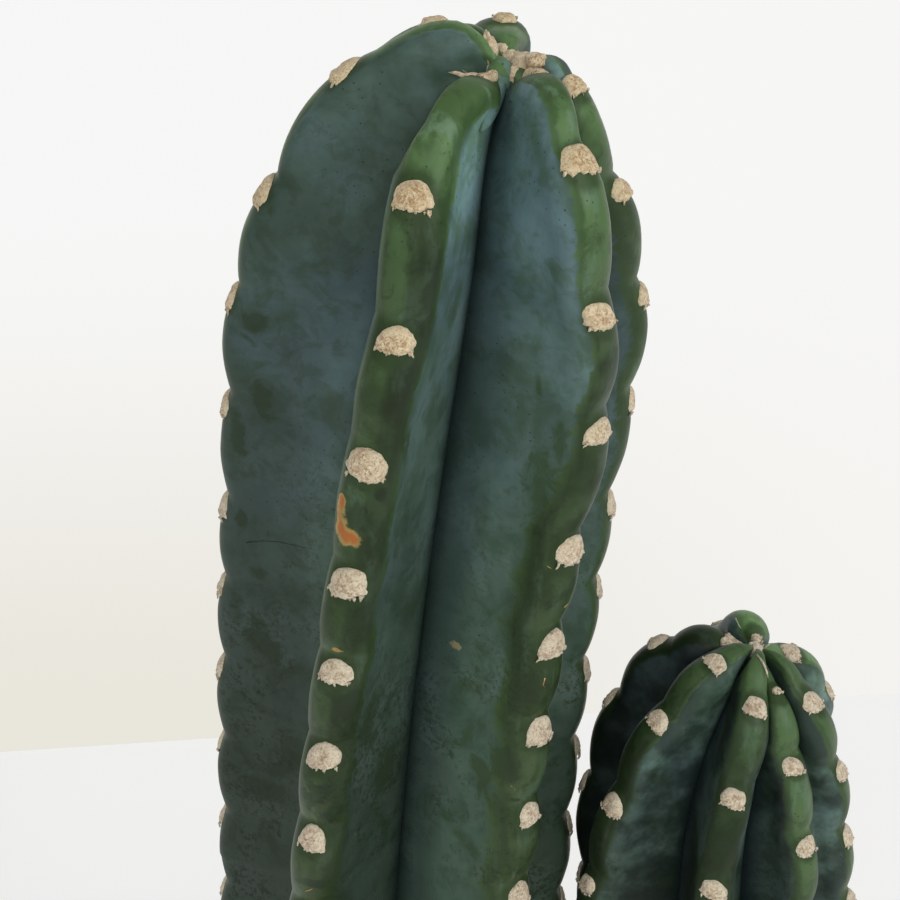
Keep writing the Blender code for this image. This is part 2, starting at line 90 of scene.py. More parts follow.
SIDE = {
    "name": "side_column", "foot": (63, -7), "lean": (-22.1, 0), "height": 254.2, "root": 45,
    "foot_r": 41, "waist_r": 44.2, "full_r": 43.1, "waist_h": 90, "full_h": 146,
    "tip_r": 5.8, "tip_dip": 2.5, "dome_h": 103, "dome_power": 0.885, "skew": (-1.6, 2.5),
    "bend_len": 100, "bend_deg": 25.6, "bend_dir": 51,
    "fin_half": 5.8, "groove_k": 9.0, "scallop": 2.6, "young_bulge": 1.1,
    "first": 17.5, "young_pitch": 26.5, "young": 1, "pitch": 30.0,
    "stations": (0, 120, 190, 235, 251),
    "ribs": ((-110, -114.3, -116.7, -120.8, -115.2), (-78, -84.4, -61.1, -61, -51),
             (-8, -8, -7.1, -4.2, -3.2), (38, 38, 36.2, 33.9, 20.8),
             (86, 84.3, 67.8, 70.5, 48.6), (138, 138, 134, 113.1, 98.9),
             (196, 196, 192, 188.4, 177.3)),
    "offsets": (-11.3, -0.4, 9, -5.7, 4.3, -4.3, -10.4),
    "first_shift": (1.5, 0.4, -3, 3.1, 1.4, -1.4, -3),
    "second_shift": (1.6, -0.9, -2.2, -0.1, 3.3, -1.3, 3.6),
    "lobes": (-5.6, 0, 1.5, -3.1, 0.8, -1.4, -1.2), "lobe_power": 1.04,
    "reach": (0.5, -1.1, 0.4, -0.8, 0.6, 1, -0.6),
    "wool_r": 3, "pad": (3.9, 3.5, 1.8), "seed": 23,
    "bands": ((5.5, 5.5), (5.5, (2.2, 3, 4, 5, 5, 5)), (5.5, 5.5), (5.5, 5.5), (4, 3), (3, 3), (5.5, 5.5)),
    "flanks": ((0.35, 0.35), (0.5, (2.4, 1.7, 1.2, 0.95, 0.8, 0.7)), (0.45, 0.62), (0.42, 0.85), (1.2, 1.7),
               (2.1, 1.9), (1.6, 1.4)),
    "crests": (0.36, (0.95, 0.55, 0.42, 0.38, 0.36, 0.34), (1.15, 0.62, 0.46, 0.44, 0.44, 0.42), 1.15, 1.0,
               (2.2, 1.9, 1.9, 1.9, 1.9, 1.9), (3.4, 2.6, 1.9, 1.9, 1.9, 1.9)),
    "first_pads": (1, 1, 1, 0.45, 1, 1, 0.5), "first_down": (0, 0, 0, 0, 0, 0, -3), "hairs": 8,
}
RIBS = 7
NOTCH_TO_PAD = 0.18   # how far above its pad a notch lies, in steps between pads
CAP_ROOM = 0.84       # most of the room between grooves that a rib's cap takes
SWELL = 0.3           # mm that a cap is wider on a swelling
BULGE_MEAN = 0.7      # the swelling at which the crest lies on its mean line
LOW_ROW = 5           # the row of areoles from which a rib keeps its low shift
FOOT_LENGTH = 60      # mm above a rib's end over which that shift runs out
LOW_HEIGHTS = ((0, 60, 150, 290), (0, 1, 1, 0))   # heights and their share of low_reach
GROOVE_TIP = 0.45     # a groove's radius at the tip, as a share of the tip's
GROOVE_MOST = 0.72    # and its largest radius, as a share of the full one
GROOVE_DIP = 2.0      # mm that the grooves lie below the tip's dimple
SOFTEN = (-18, -9, 0, 9, 18)   # heights over which a rib's change of direction is spread
ROOT_TAPER_FROM = 8   # mm below the soil where the buried foot begins to close in
ROOT_CLOSED = 0.93    # how far it has closed at its end
CAP_STEPS, FLANK_STEPS = 7, 9  # across a rib's cap and its flank
FLANK = CAP_STEPS + FLANK_STEPS
TIP_RINGS, TIP_STEP = 6, 0.16  # rings on the tip, and their distance as a share of its radius
YOUNG_STEP = 2.0      # mm between rings from there to the first notch
PITCH_STEPS = 16      # rings from notch to notch
EVEN_TO = 14          # mm below the soil where these end
BURIED = (20, 30, 38, 42)      # mm below the soil of the foot's rings
WAVES = ((0.42, 38), (0.14, 120))   # the skin's shallow lumps: mm high, and waves in a metre
TIP_ARCS = (28, 46)   # arcs over which a green band comes to its full width
# Painted light: the rib and side given here are made brighter towards the groove, against its shade.
PAINTED_LIGHT_SIDE = (0, 1)     # the rib, and its side, that grow brighter towards the groove
TONE_AT = (0.06, 0.12, 0.18, 0.26, 0.40, 0.56)   # shares of the column's length, from the tip
CAP_POWER = 2.25      # how flat a cap is on top: 2 is a half circle
NARROW_ARCS = ((40, 53), (1, 0))   # arcs and their share of narrow
LOW_PADS = ((5, 7), (1, 0.8))   # rows and how wide their areoles are
PAD_END = 10          # mm above the soil where the areoles end

# Marks: rib, side, level, mm from the crest, mm long, mm wide
DARK_MARKS = ((0, 1, 105.5, 12.4, 11, 9), (0, 1, 133.5, 15.1, 12, 8), (0, 1, 148, 11.0, 16, 6),
              (0, 1, 218.5, 20.9, 17, 9), (0, 1, 224, 24.5, 14, 6), (0, 1, 194.5, 18.8, 6, 5),
              (0, 1, 176, 12.5, 6, 4), (0, 1, 273.5, 22.0, 10, 26), (0, 1, 68, 4.5, 12, 6),
              (0, 1, 261, 33.0, 9, 14), (2, -1, 128, 19.8, 17, 3), (2, -1, 156, 15.5, 30, 9),
              (2, -1, 143, 12.5, 14, 6), (2, -1, 217, 6.4, 14, 7), (2, -1, 242.5, 12.3, 12, 10),
              (2, -1, 252, 17.0, 14, 7), (1, 1, 214, 4.5, 12, 12), (1, 1, 226.5, 15.5, 20, 12),
              (1, 1, 250.5, 29.8, 22, 16), (1, 1, 135, 11.5, 20, 3.5), (1, -1, 153.5, 0.5, 13, 7),
              (1, 1, 146, 5.0, 4, 3))
SCARS = ((1, -1, 150.5, 5.3, 6, 2.6), (1, -1, 154.5, 5.8, 7, 3.0), (1, -1, 158, 4.6, 7, 4.0),
         (1, -1, 160.5, 2.6, 5.5, 4.4), (1, -1, 160.3, 0.6, 4.5, 3.6), (1, -1, 196.5, 0.3, 1.6, 2.6))
TAN_SPOTS = ((2, -1, 211.5, 32.0, 2.6, 3.2),)
SCRATCH = ((0, 1, 183.5, 15.3), (0, 1, 182.3, 20.0), (0, 1, 182.2, 25.0), (0, 1, 183.2, 31.0),
           (0, 1, 184.5, 38.0))
SCRAPES = (((2, -1, 250.3, 7.6), (2, -1, 251.0, 6.2), (2, -1, 252.8, 5.6), (2, -1, 254.6, 5.9)),
           ((2, -1, 177.6, 7.6), (2, -1, 177.9, 6.8), (2, -1, 178.6, 5.8)),
           ((2, -1, 213.0, 3.0), (2, -1, 215.4, 3.3), (2, -1, 216.8, 2.2), (2, -1, 217.4, 0.8)),
           ((2, 1, 191.8, 0.8), (2, 1, 191.4, 2.0), (2, 1, 190.6, 3.4)),
           ((1, 1, 281.5, 0.3), (1, 1, 280.8, 1.4), (1, 1, 279.6, 2.8)))
SIDE_SCRAPES = (((6, 1, 24.5, 5.4), (6, 1, 22.0, 5.0), (6, 1, 20.0, 4.2)),)

# Details at the tips, in mm in the part's frame: a strand's points and thickness, and a lump's
# centre, long axis, radii and tone
TIP_STRANDS = ((((-25, -27.5, 605.2), (-26.6, -27.4, 606.6), (-28.6, -27.6, 607.4), (-30.6, -27.9, 607.6)),
                0.9),
               (((-25, -27.2, 605.6), (-26.2, -26.8, 607.2), (-27.2, -26.8, 608.2)), 0.5))
YOUNG_RIB = (((-17.6, -23.6, 605.2), (0.05, 0.1, 1), (5.0, 3.5, 3.4), 2.6),
             ((-19.5, -31.6, 601.5), (-4.4, -15.5, -6.5), (11.5, 2.1, 2.3), 2.8))
TIP_FELT = (((-17.1, -12.4, 608.8), (1, -0.8, 0), (2.8, 2.1, 1.7), 0.1),
            ((-14.6, -15.8, 607.4), (1, -1, -0.1), (3.4, 2.6, 1.9), 0.0),
            ((-12.0, -21.6, 608.6), (1, -1, 0), (3.9, 2.7, 2.2), 0.1),
            ((-14.4, -24.6, 606.4), (0.2, -1, -0.6), (2.8, 1.5, 1.6), 0.2),
            ((-8.8, -25.2, 609.6), (1, -0.4, 0.1), (3.0, 2.2, 2.2), 0.8),
            ((-23.0, -28.0, 605.6), (1, 0.1, -0.25), (3.6, 1.5, 1.5), 0.5),
            ((-19.9, -16.6, 611.2), (2.2, -2.1, -5.4), (3.7, 1.5, 1.4), 0.5))
SIDE_STRANDS = ((((55.2, -25.6, 442.2), (56.5, -28, 441.3), (57.4, -30.2, 439.6), (57.8, -31.6, 438.2)),
                 0.6),)

# pot, as in the part's source
POT_H = 210 * MM
POT_TOP_R = 127 * MM
POT_FOOT_R = 88 * MM
POT_WALL = 8 * MM
POT_FLOOR = 11 * MM
RIM_R = 132 * MM
RIM_H = 34 * MM
FOOT_RECESS = 3 * MM
FOOT_RING = 12 * MM
DRAIN_R = 11 * MM
SOIL_R_GAP = 1 * MM   # between the soil and the pot's wall
STEM_CORE = 30        # radius of a column's foot at the grooves, in mm

# camera and stage, in metres
CAMERA_AT = (-0.030, -0.536, 0.743)
CAMERA_DOWN_DEG = 25
LENS_MM = 85
SENSOR_MM = 36
LIT_POINT = (0, 0, 0.45)
HALF_STAGE = 3
WALL_Y = 1.3


def ease(t):
    t = np.clip(t, 0.0, 1.0)
    return t * t * (3 - 2 * t)


def unit(v):
    return v / np.maximum(np.linalg.norm(v, axis=-1, keepdims=True), 1e-9)


def cap_drop(x):
    """How far a rounded cap falls away at a share x of its half width."""
    return 1 - (1 - np.minimum(x, 1.0) ** CAP_POWER) ** (1 / CAP_POWER)


class Column:
    """The fine surface of a ribbed column, on the same formulas as its solid."""

    low_shift = low_reach = first_down = (0.0,) * RIBS
    narrow = ((0, 0),) * RIBS
    tip_bands = dark_right = (1,) * RIBS

    def __init__(self, spec):
        for key, value in spec.items():
            setattr(self, key, value)
        self.shoulder = self.height - self.dome_h
        self.full = float(self.side_r(self.shoulder))
        self.line_s, self.line_r, self.line_h = self.crest_line()
        self.end = self.line_s[-1]
        self.soil_arc = self.end - self.root
        self.levels = [self.first]
        while self.levels[-1] < self.end + 60:
            step = self.young_pitch if len(self.levels) <= self.young else self.pitch
            self.levels.append(self.levels[-1] + step)
        pairs = zip(self.levels, self.levels[1:])
        self.notches = [a - NOTCH_TO_PAD * (b - a) for a, b in pairs]

    def side_r(self, h):
        r = self.foot_r + (self.waist_r - self.foot_r) * ease(h / self.waist_h)
        rise = (h - self.waist_h) / (self.full_h - self.waist_h)
        return r + (self.full_r - self.waist_r) * ease(rise)

    def crest_line(self):
        t = np.arange(9) / 8
        b = math.pi / 2 * (1 - np.arange(1, 61) / 60)
        side_h = self.shoulder - (self.shoulder + self.root) * np.arange(1, 121) / 120
        r = np.concatenate([self.tip_r * t,
                            self.tip_r + (self.full - self.tip_r) * np.cos(b) ** self.dome_power,
                            self.side_r(side_h)])
        h = np.concatenate([self.height - self.tip_dip * (1 - t) ** 2,
                            self.shoulder + self.dome_h * np.sin(b), side_h])
        s = np.concatenate([[0.0], np.cumsum(np.hypot(np.diff(r), np.diff(h)))])
        return s, r, h

    def crest(self, s):
        return np.interp(s, self.line_s, self.line_r), np.interp(s, self.line_s, self.line_h)

    def normal(self, s):
        s = np.minimum(s, self.end - 4)
        ar, ah = self.crest(np.maximum(0.0, s - 2))
        br, bh = self.crest(s + 2)
        size = np.hypot(br - ar, bh - ah)
        return -(bh - ah) / size, (br - ar) / size

    def on_rib(self, i, arc):
        """Where rib i has what the shared levels put at arc."""
        lv, own, i = self.levels, self.offsets[i % RIBS], i % RIBS
        low = own + self.low_shift[i]
        at = (0.0, lv[0], lv[1], lv[2], lv[LOW_ROW], self.end - FOOT_LENGTH, self.end)
        by = (0.0, own + self.first_shift[i], own + self.second_shift[i], own, low, low, 0.0)
        return arc + np.interp(arc, at, by)

    def swelling(self, arc):
        """0 at the notch above each pad, 1 on the swelling below it."""
        arc = np.asarray(arc, float)
        nt = np.array(self.notches)
        k = np.clip(np.searchsorted(nt, arc, side="right") - 1, 0, len(nt) - 2)
        x = np.clip((arc - nt[k]) / (nt[k + 1] - nt[k]), 0.0, 1.0)
        young = self.young_bulge * ease((nt[0] - arc) / (0.5 * nt[0]))
        return np.where(arc < nt[0], young, np.sin(math.pi * x) ** 0.85)

    def rib_angle(self, i, h):
        st, an = self.stations, self.ribs[i % RIBS]
        h = np.asarray(h, float)
        low = an[0] + (an[1] - an[0]) * ease((h - st[0]) / (st[1] - st[0]))
        high = sum(np.interp(h + d, st, an) for d in SOFTEN) / len(SOFTEN)
        return np.radians(np.where(h < st[1], low, high))

    def half_angle(self, i, side, h):
        gap = self.rib_angle(i + side, h) - self.rib_angle(i, h)
        return (side * gap) % math.tau / 2

    def off_centre(self, s):
        r, _ = self.crest(s)
        near = np.asarray(s) <= self.dome_h + self.tip_r + 30
        return np.where(near, np.maximum(0.0, 1 - (r / self.full) ** 2), 0.0)

    def groove_line(self, s, half):
        r, h = self.crest(s)
        deep = np.minimum(self.groove_k / np.sin(half), GROOVE_MOST * self.full)
        side = (h < self.shoulder) & (s > self.tip_r)
        up = (h - self.shoulder) / self.dome_h
        inward = np.clip((r - self.tip_r) / (self.full - self.tip_r), 0.0, 1.0)
        tip = np.minimum(r, GROOVE_TIP * self.tip_r)
        deepest = self.tip_dip + GROOVE_DIP
        drop = deepest * up
        drop = np.where(s < self.tip_r * 1.2, np.minimum(drop, deepest - (self.height - h)), drop)
        gr = np.where(side, deep * self.side_r(h) / self.full, tip + (deep - tip) * inward)
        return gr, np.where(side, h, h - np.maximum(0.0, drop))

    def bend(self, x, y, z):
        d = math.radians(self.bend_dir)
        dx, dy = math.sin(d), -math.cos(d)
        k = math.radians(self.bend_deg) / self.bend_len
        z0 = self.height - self.bend_len
        a = x * dx + y * dy
        wx, wy = x - a * dx, y - a * dy
        turn = np.where(z > z0, k * (z - z0), 0.0)
        a2 = np.where(z > z0, (1 - np.cos(turn)) / k + a * np.cos(turn), a)
        z2 = np.where(z > z0, z0 + np.sin(turn) / k - a * np.sin(turn), z)
        x2 = wx + a2 * dx + self.lean[0] * z2 / self.height + self.foot[0]
        y2 = wy + a2 * dy + self.lean[1] * z2 / self.height + self.foot[1]
        return np.stack([x2 * MM, y2 * MM, z2 * MM + SOIL_Z], -1)

    def at(self, theta, r, q, h, shift=0.0):
        t = np.clip((-ROOT_TAPER_FROM - h) / (self.root - ROOT_TAPER_FROM), 0.0, 1.0)
        s = np.sqrt(np.maximum(0.0, 1 - (ROOT_CLOSED * t) ** 2))
        x = (r * np.sin(theta) + q * np.cos(theta)) * s + shift * self.skew[0]
        y = (-r * np.cos(theta) + q * np.sin(theta)) * s + shift * self.skew[1]
        return self.bend(x, y, np.asarray(h, float))

    def cap_half(self, i, side, s, swell):
        r, h = self.crest(s)
        room = CAP_ROOM * r * np.tan(np.minimum(self.half_angle(i, side, h), 1.0))
        less = self.narrow[i][side > 0] * np.interp(s, *NARROW_ARCS)
        return np.maximum(np.minimum((self.fin_half + SWELL * swell) * (1 - less), room), 0.4)

    def over_crest(self, i, s, q, swell, lift):
        """A point lift mm out from rib i's mean crest at s, and q mm across from it."""
        r, h = self.crest(s)
        nr, nh = self.normal(s)
        shift = self.off_centre(s)
        out = self.scallop * (swell - BULGE_MEAN) * ease(r / 20) + lift
        out = out + self.reach[i] * 4 * shift * (1 - shift)
        out = out + self.low_reach[i] * np.interp(h, *LOW_HEIGHTS)
        raised = self.lobes[i % RIBS] * ease(r / self.tip_r) * shift ** self.lobe_power
        return self.at(self.rib_angle(i, h), r + out * nr, q, h + out * nh + raised, shift)

    def on_cap(self, i, level, across, down, lift):
        """Points lift mm over the rounded cap, beside the pad at a level."""
        across, down, lift = (np.array(values, float) for values in (across, down, lift))
        swell = self.swelling(level + down)
        s = self.on_rib(i, level) + down
        w = np.minimum(self.cap_half(i, -1, s, swell), self.cap_half(i, 1, s, swell))
        return self.over_crest(i, s, across, swell, lift - w * cap_drop(np.abs(across) / w))

    def half_rib(self, i, arcs, side):
        """Points from rib i's crest to its groove on one side: (steps, rings, 3), and how far
        each is from the crest line, in mm along the section."""
        s = self.on_rib(i, arcs)
        swell = self.swelling(arcs)
        w = self.cap_half(i, side, s, swell)
        pts = []
        for j in range(CAP_STEPS + 1):
            x = math.sin(math.pi / 2 * j / CAP_STEPS)
            pts.append(self.over_crest(i, s, side * w * x, swell, -w * cap_drop(x)))
        edge = pts[-1]
        deeper = self.over_crest(i, s, side * w, swell, -w - 2)
        sg = 0.5 * (s + self.on_rib(i + side, arcs))
        hg = self.crest(sg)[1]
        half = self.half_angle(i, side, hg)
        gr, gh = self.groove_line(sg, half)
        ang = self.rib_angle(i, hg) + side * half
        shift = self.off_centre(sg)
        groove = self.at(ang, gr, 0.0, gh, shift)
        outer = self.at(ang, gr + 1.0, 0.0, gh, shift)
        beside = self.at(ang, gr, -side * 1.0, gh, shift)
        across = groove - edge
        width = np.linalg.norm(across, axis=-1, keepdims=True)
        slim = np.interp(s, *NARROW_ARCS) * (self.narrow[i][side > 0] > 0.3)
        slim = slim[:, None]
        a = edge + unit((0.75 + slim) * unit(deeper - edge) + 0.25 * unit(across)) * 0.38 * width
        out = unit(0.9 * unit(outer - groove) + 0.4 * unit(beside - groove))
        b = groove + out * np.minimum(0.3 * width, 7 * MM) * (1 - 0.9 * slim)
        for j in range(1, FLANK_STEPS + 1):
            t = ease(j / FLANK_STEPS) * 0.35 + 0.65 * j / FLANK_STEPS
            u = 1 - t
            pts.append(u ** 3 * edge + 3 * u * u * t * a + 3 * u * t * t * b + t ** 3 * groove)
        pts = np.array(pts)
        steps = np.linalg.norm(np.diff(pts, axis=0), axis=-1)
        dist = np.concatenate([np.zeros((1, len(arcs))), np.cumsum(steps, axis=0)]) / MM
        return pts, dist

    def on_skin(self, i, hand, level, dist, lift=0.0):
        """The skin's point at a level, dist mm from rib i's crest along the section."""
        pts, far = self.half_rib(i, np.array([level - 0.5, level, level + 0.5]), hand)
        k = min(int(np.searchsorted(far[:, 1], dist)), len(far) - 1) or 1
        share = (dist - far[k - 1, 1]) / max(far[k, 1] - far[k - 1, 1], 1e-6)
        here = pts[k - 1, 1] + (pts[k, 1] - pts[k - 1, 1]) * share
        out = np.cross(pts[k, 1] - pts[k - 1, 1], pts[k, 2] - pts[k, 0]) * hand
        return here + unit(out) * lift * MM

    def ring_arcs(self):
        arcs = [TIP_STEP * self.tip_r * k for k in range(1, TIP_RINGS + 1)]
        lead = self.notches[0] - arcs[-1]
        steps = max(3, int(lead / YOUNG_STEP))
        arcs += [arcs[-1] + lead * k / steps for k in range(1, steps)]
        arcs += [a + (b - a) * k / PITCH_STEPS for a, b in zip(self.notches, self.notches[1:])
                 for k in range(PITCH_STEPS)]
        arcs = [s for s in arcs if s < self.soil_arc + EVEN_TO]
        return np.array(arcs + [self.soil_arc + below for below in BURIED])

    def pad_places(self):
        """Where the areoles sit, with the same draws, used or not, as in the part's source."""
        rng = random.Random(self.seed)
        half_w = self.pad[0]
        out = []
        for row, level in enumerate(self.levels):
            for i in range(RIBS):
                here = level + rng.uniform(-0.3, 0.3) + self.first_down[i] * (row == 0)
                size = rng.uniform(0.92, 1.04) * (self.first_pads[i] if row == 0 else 1)
                _, aside = rng.uniform(0, 1), rng.uniform(-0.5, 0.5)
                s = self.on_rib(i, here)
                if s > self.soil_arc - PAD_END:
                    continue
                room = min(float(self.cap_half(i, side, s, 0.0)) for side in (-1, 1))
                wide = min(half_w * size * float(np.interp(row, *LOW_PADS)), room)
                out.append((i, here, aside * wide / half_w, wide, self.pad[1] * size))
        return out


def placed(name, data):
    """A new object in the scene."""
    obj = bpy.data.objects.new(name, data)
    scene.collection.objects.link(obj)
    return obj


def mesh_object(name, verts, faces, **attributes):
    mesh = bpy.data.meshes.new(name)
    mesh.from_pydata([tuple(v) for v in verts], [], [tuple(f) for f in faces])
    for key, values in attributes.items():
        layer = mesh.attributes.new(key, "FLOAT", "POINT")
        layer.data.foreach_set("value", np.asarray(values, np.float32))
    bm = bmesh.new()
    bm.from_mesh(mesh)
    bmesh.ops.recalc_face_normals(bm, faces=bm.faces[:])
    bm.to_mesh(mesh)
    bm.free()
    mesh.shade_smooth()
    return placed(name, mesh)


def loft_faces(rings, around):
    """Quads between rings of points, with a fan to the first and the last vertex."""
    faces = [(0, 1 + k, 1 + (k + 1) % around) for k in range(around)]
    for j in range(rings - 1):
        a, b = 1 + j * around, 1 + (j + 1) * around
        faces += [(a + k, b + k, b + (k + 1) % around, a + (k + 1) % around) for k in range(around)]
    last, end = 1 + (rings - 1) * around, 1 + rings * around
    faces += [(last + (k + 1) % around, last + k, end) for k in range(around)]
    return faces


def finish_piece(obj, material, slot, *nodes):
    obj.data.materials.append(material)
    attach(obj, "root")
    if nodes:
        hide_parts(*nodes)


def spread(values, tall):
    """One value, or one for each of TONE_AT, read along the column."""
    return np.interp(tall, TONE_AT, np.broadcast_to(values, len(TONE_AT)))


def column_skin(col):
    """The ribbed skin, with what its material needs to know at each point."""
    arcs = col.ring_arcs()
    tall = np.clip(arcs / col.soil_arc, 0.0, 1.0)
    points, known = [], []
    for i in range(RIBS):
        at_tip = np.interp(arcs, TIP_ARCS, (col.tip_bands[i], 1))
        for hand, keep in ((-1, slice(None, None, -1)), (1, slice(1, -1))):
            pts, dist = col.half_rib(i, arcs, hand)
            wide = spread(col.bands[i][hand > 0], tall) * at_tip
            crest = spread(col.crests[i], tall)
            # The crest's right half is darker: partly the skin's own colour, partly painted shade.
            if hand > 0:
                crest = crest * (1 + (spread(col.dark_right[i], tall) - 1) * ease((dist + 2) / 5))
            flank = spread(col.flanks[i][hand > 0], tall)
            # Painted light: this flank grows brighter towards the groove, from partway down the column.
            if (i, hand) == PAINTED_LIGHT_SIDE:
                inward, lower = ease((dist / dist[-1] - 0.55) / 0.3), ease((tall - 0.2) / 0.08)
                flank = flank * (1 + 0.7 * inward * lower)
            tone = crest + (flank - crest) * ease((dist / wide - 0.7) / 0.5)
            points.append(pts[keep])
            known.append(np.stack([dist, dist / wide, hand * dist, tone])[:, keep])
    grid = np.concatenate(points).transpose(1, 0, 2)
    edge, green, side, tone = np.concatenate(known, axis=1).transpose(0, 2, 1)
    around = grid.shape[1]
    level = np.min(np.abs(arcs[:, None] - np.array(col.levels)), axis=-1)
    pad = np.minimum(np.hypot(level[:, None], edge), 40.0)
    depth = np.abs(np.arange(2 * FLANK) - FLANK) / FLANK
    depth = np.tile(depth, RIBS)[None, :].repeat(len(arcs), 0)
    top = col.at(0.0, 0.0, 0.0, col.height - col.tip_dip - 1.0, 1.0)
    low = col.at(0.0, 0.0, 0.0, -col.root + 0.4)
    verts = np.concatenate([top[None], grid.reshape(-1, 3), low[None]])
    values = {"green": (0, green, 3), "pad": (0, pad, 40), "groove": (0.5, depth, 1), "side": (0, side, 0),
              "tone": (1, tone, 1)}
    obj = mesh_object(col.name + "_skin", verts, loft_faces(len(arcs), around),
                      **{key: np.concatenate([[first], rows.reshape(-1), [last]])
                         for key, (first, rows, last) in values.items()})
    unevenness(obj)
    crease(obj, around, 2 * FLANK)
    return obj


def crease(obj, around, step):
    """Marks the lines of groove points sharp, so that no groove shines."""
    for line in obj.data.edges:
        a, b = line.vertices
        if b - a == around and (a - 1) % step == 0:
            line.use_edge_sharp = True


def lumpy(p, *waves, base=Vector()):
    """Noise at a point: the sum over pairs of height and waves in a unit."""
    return sum(high * noise.noise(base + p * scale) for high, scale in waves)


def unevenness(obj):
    """Shallow lumps over the skin."""
    mesh = obj.data
    co = np.zeros(len(mesh.vertices) * 3)
    nor = np.zeros(len(mesh.vertices) * 3)
    mesh.vertices.foreach_get("co", co)
    mesh.vertex_normals.foreach_get("vector", nor)
    co, nor = co.reshape(-1, 3), nor.reshape(-1, 3)
    for k in range(1, len(co) - 1):
        co[k] += nor[k] * lumpy(Vector(co[k]), *WAVES) * MM
    mesh.vertices.foreach_set("co", co.reshape(-1))
    mesh.update()


class Lumps:
    """Gathers many small closed forms into one mesh."""

    def __init__(self):
        self.verts, self.faces, self.tone = [], [], []

    def add(self, verts, faces, tone):
        base = len(self.verts)
        self.verts += [tuple(v) for v in verts]
        self.faces += [tuple(base + k for k in f) for f in faces]
        self.tone += list(tone)

    def object(self, name, **same):
        """The mesh, with a tone at each point and what is the same at all of them."""
        more = {key: [value] * len(self.verts) for key, value in same.items()}
        return mesh_object(name, self.verts, self.faces, tone=self.tone, **more)


def disc(rings, segs):
    """The centre and the rings of a disc: each point's ring, share of the radius and angle."""
    for j in range(rings + 1):
        for k in range(segs if j else 1):
            yield j, j / rings, math.tau * k / segs


def felt_pad(lumps, col, place, rng):
    """A flat felt cushion on the rib: rounded above, cut off ragged below, its rim raised."""
    i, level, aside, wide, high = place
    segs, rings = 44, 9
    seed = Vector([rng.uniform(0, 50) for _ in range(3)])
    flat = rng.uniform(0.52, 0.78)
    slant = rng.uniform(-0.16, 0.16)
    spikes = [(rng.uniform(0.25, 0.55), rng.uniform(0.06, 0.26)),
              (math.pi - rng.uniform(0.25, 0.55), rng.uniform(0.06, 0.26))]
    spikes += [(rng.uniform(0.7, 2.4), rng.uniform(0.05, 0.22)) for _ in range(3)]
    across, down, lift, tone = [], [], [], []
    for j, f, t in disc(rings, segs):
        way = Vector((math.cos(t), math.sin(t), 0))
        ragged = 1 + lumpy(way, (0.13, 1.3), (0.05, 4), base=seed)
        tip = sum(long * math.exp(-((t - at) / 0.13) ** 2) for at, long in spikes)
        reach = f * (1 + tip * f ** 4)
        x, y = reach * math.cos(t) * ragged, reach * math.sin(t) * ragged
        if y > 0:
            y *= flat + 0.30 * abs(x) ** 2.5 + 0.24 * f ** 3 * lumpy(way, (1, 6.5), (0.5, 13), base=seed)
        else:
            y *= 1.16
        y += slant * x
        spot = seed + Vector((x, y, 0))
        lump = lumpy(spot, (1, 2.4), (0.5, 5.5), (0.2, 13))
        rim = math.exp(-((f - 0.68) / 0.2) ** 2)
        dome = max(0.0, 1 - f ** 3) ** 0.75 * (0.5 * col.pad[2] + 0.30 * rim + 0.30 * lump)
        across.append(aside + x * wide)
        down.append(y * high)
        lift.append(dome - (0.7 if j == rings else 0.0))
        tone.append(min(1.0, max(0.0, 0.95 - 1.05 * f ** 2 + 0.75 * noise.noise(spot * 1.9))))
    pts = col.on_cap(i, level, across, down, lift)
    under = col.on_cap(i, level, [aside], [0.0], [-1.2])
    lumps.add(np.concatenate([pts, under]), loft_faces(rings, segs), tone + [0.0])
    return flat


def strand(lumps, points, radius, tone):
    """A tapering, three-sided hair through the given points."""
    pts = [Vector(p) for p in points]
    verts, faces = [], []
    for k, p in enumerate(pts[:-1]):
        along = (pts[k + 1] - p).normalized()
        u = along.orthogonal().normalized()
        v = along.cross(u)
        r = radius * (1 - 0.55 * k / (len(pts) - 1))
        for m in range(3):
            t = math.tau * m / 3
            verts.append(p + (u * math.cos(t) + v * math.sin(t)) * r)
    for k in range(len(pts) - 2):
        a, b = 3 * k, 3 * (k + 1)
        faces += [(a + m, b + m, b + (m + 1) % 3, a + (m + 1) % 3) for m in range(3)]
    faces.append((2, 1, 0))
    verts.append(pts[-1])
    last, tip = 3 * (len(pts) - 2), len(verts) - 1
    faces += [(last + m, last + (m + 1) % 3, tip) for m in range(3)]
    lumps.add(verts, faces, [tone] * len(verts))


def pad_tufts(lumps, col, place, flat, rng):
    """Short pointed tufts of felt along the lower edge, longest at its two corners."""
    i, level, aside, wide, high = place
    spots = [(rng.uniform(-0.95, -0.8), 1.0), (rng.uniform(0.8, 0.95), 1.0)]
    spots += [(rng.uniform(-0.95, 0.95), rng.uniform(0.3, 0.75)) for _ in range(6)]
    for x, long in spots:
        y0 = high * (flat + 0.25 * abs(x) ** 2.5) * math.sqrt(max(0.0, 1 - 0.8 * x * x))
        length = long * rng.uniform(0.7, 1.7) * high / 4.5
        lean = rng.uniform(-0.35, 0.35) + 0.3 * x
        across, down, lift = [], [], []
        for f, up in ((-0.5, 0.75), (0.15, 0.6), (0.65, 0.35), (1.0, rng.uniform(0.15, 0.6))):
            across.append(aside + x * wide * 0.96 + lean * length * max(f, 0.0))
            down.append(y0 - 0.4 + length * f)
            lift.append(up)
        pts = col.on_cap(i, level, across, down, lift)
        strand(lumps, pts, rng.uniform(0.34, 0.6) * MM, rng.choice((0.0, 0.0, 0.0, 0.3)))


def column_pads(col):
    lumps = Lumps()
    rng = random.Random(col.seed + 100)
    for place in col.pad_places():
        flat = felt_pad(lumps, col, place, rng)
        pad_tufts(lumps, col, place, flat, rng)
    return lumps.object(col.name + "_areoles")


